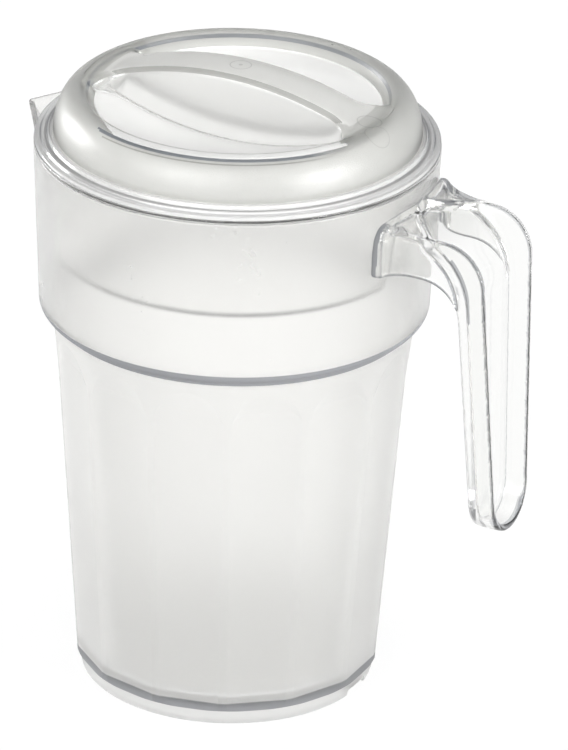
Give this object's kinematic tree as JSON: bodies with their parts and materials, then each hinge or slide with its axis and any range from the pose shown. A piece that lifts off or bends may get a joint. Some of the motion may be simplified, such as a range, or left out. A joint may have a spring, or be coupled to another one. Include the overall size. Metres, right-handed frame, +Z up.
{
  "type": "covered pitcher",
  "caption": "Clear plastic serving pitcher with panelled body, wide collar, V spout, open hook handle and a plug lid with a grip bar that turns and lifts off.",
  "frame": {"origin": "on the table, under the middle of the foot ring, on the vessel's axis", "axes": "+Z up along the vessel's axis, +X towards the handle, -X towards the spout"},
  "size_m": [0.1818, 0.134, 0.2174],
  "materials": {
    "hazy_plastic": "hazy clear moulding, fine texture outside",
    "clear_plastic": "water clear polished moulding",
    "lid_plastic": "clear polished moulding, slightly grey"
  },
  "bodies": {
    "pitcher": {"vessel": "hazy_plastic", "handle": "clear_plastic"},
    "rim_ring": {"rim_ring": "clear_plastic"},
    "lid": {"lid_cap": "lid_plastic", "lid_skirt": "lid_plastic"}
  },
  "joints": [
    {"name": "lid_lift", "type": "slide", "parent": "pitcher", "child": "rim_ring", "axis": [0, 0, 1], "range_m": [0, 0.07]},
    {"name": "lid_turn", "type": "hinge", "parent": "rim_ring", "child": "lid", "pos_m": [0, 0, 0.19], "axis": [0, 0, 1], "continuous": true}
  ]
}
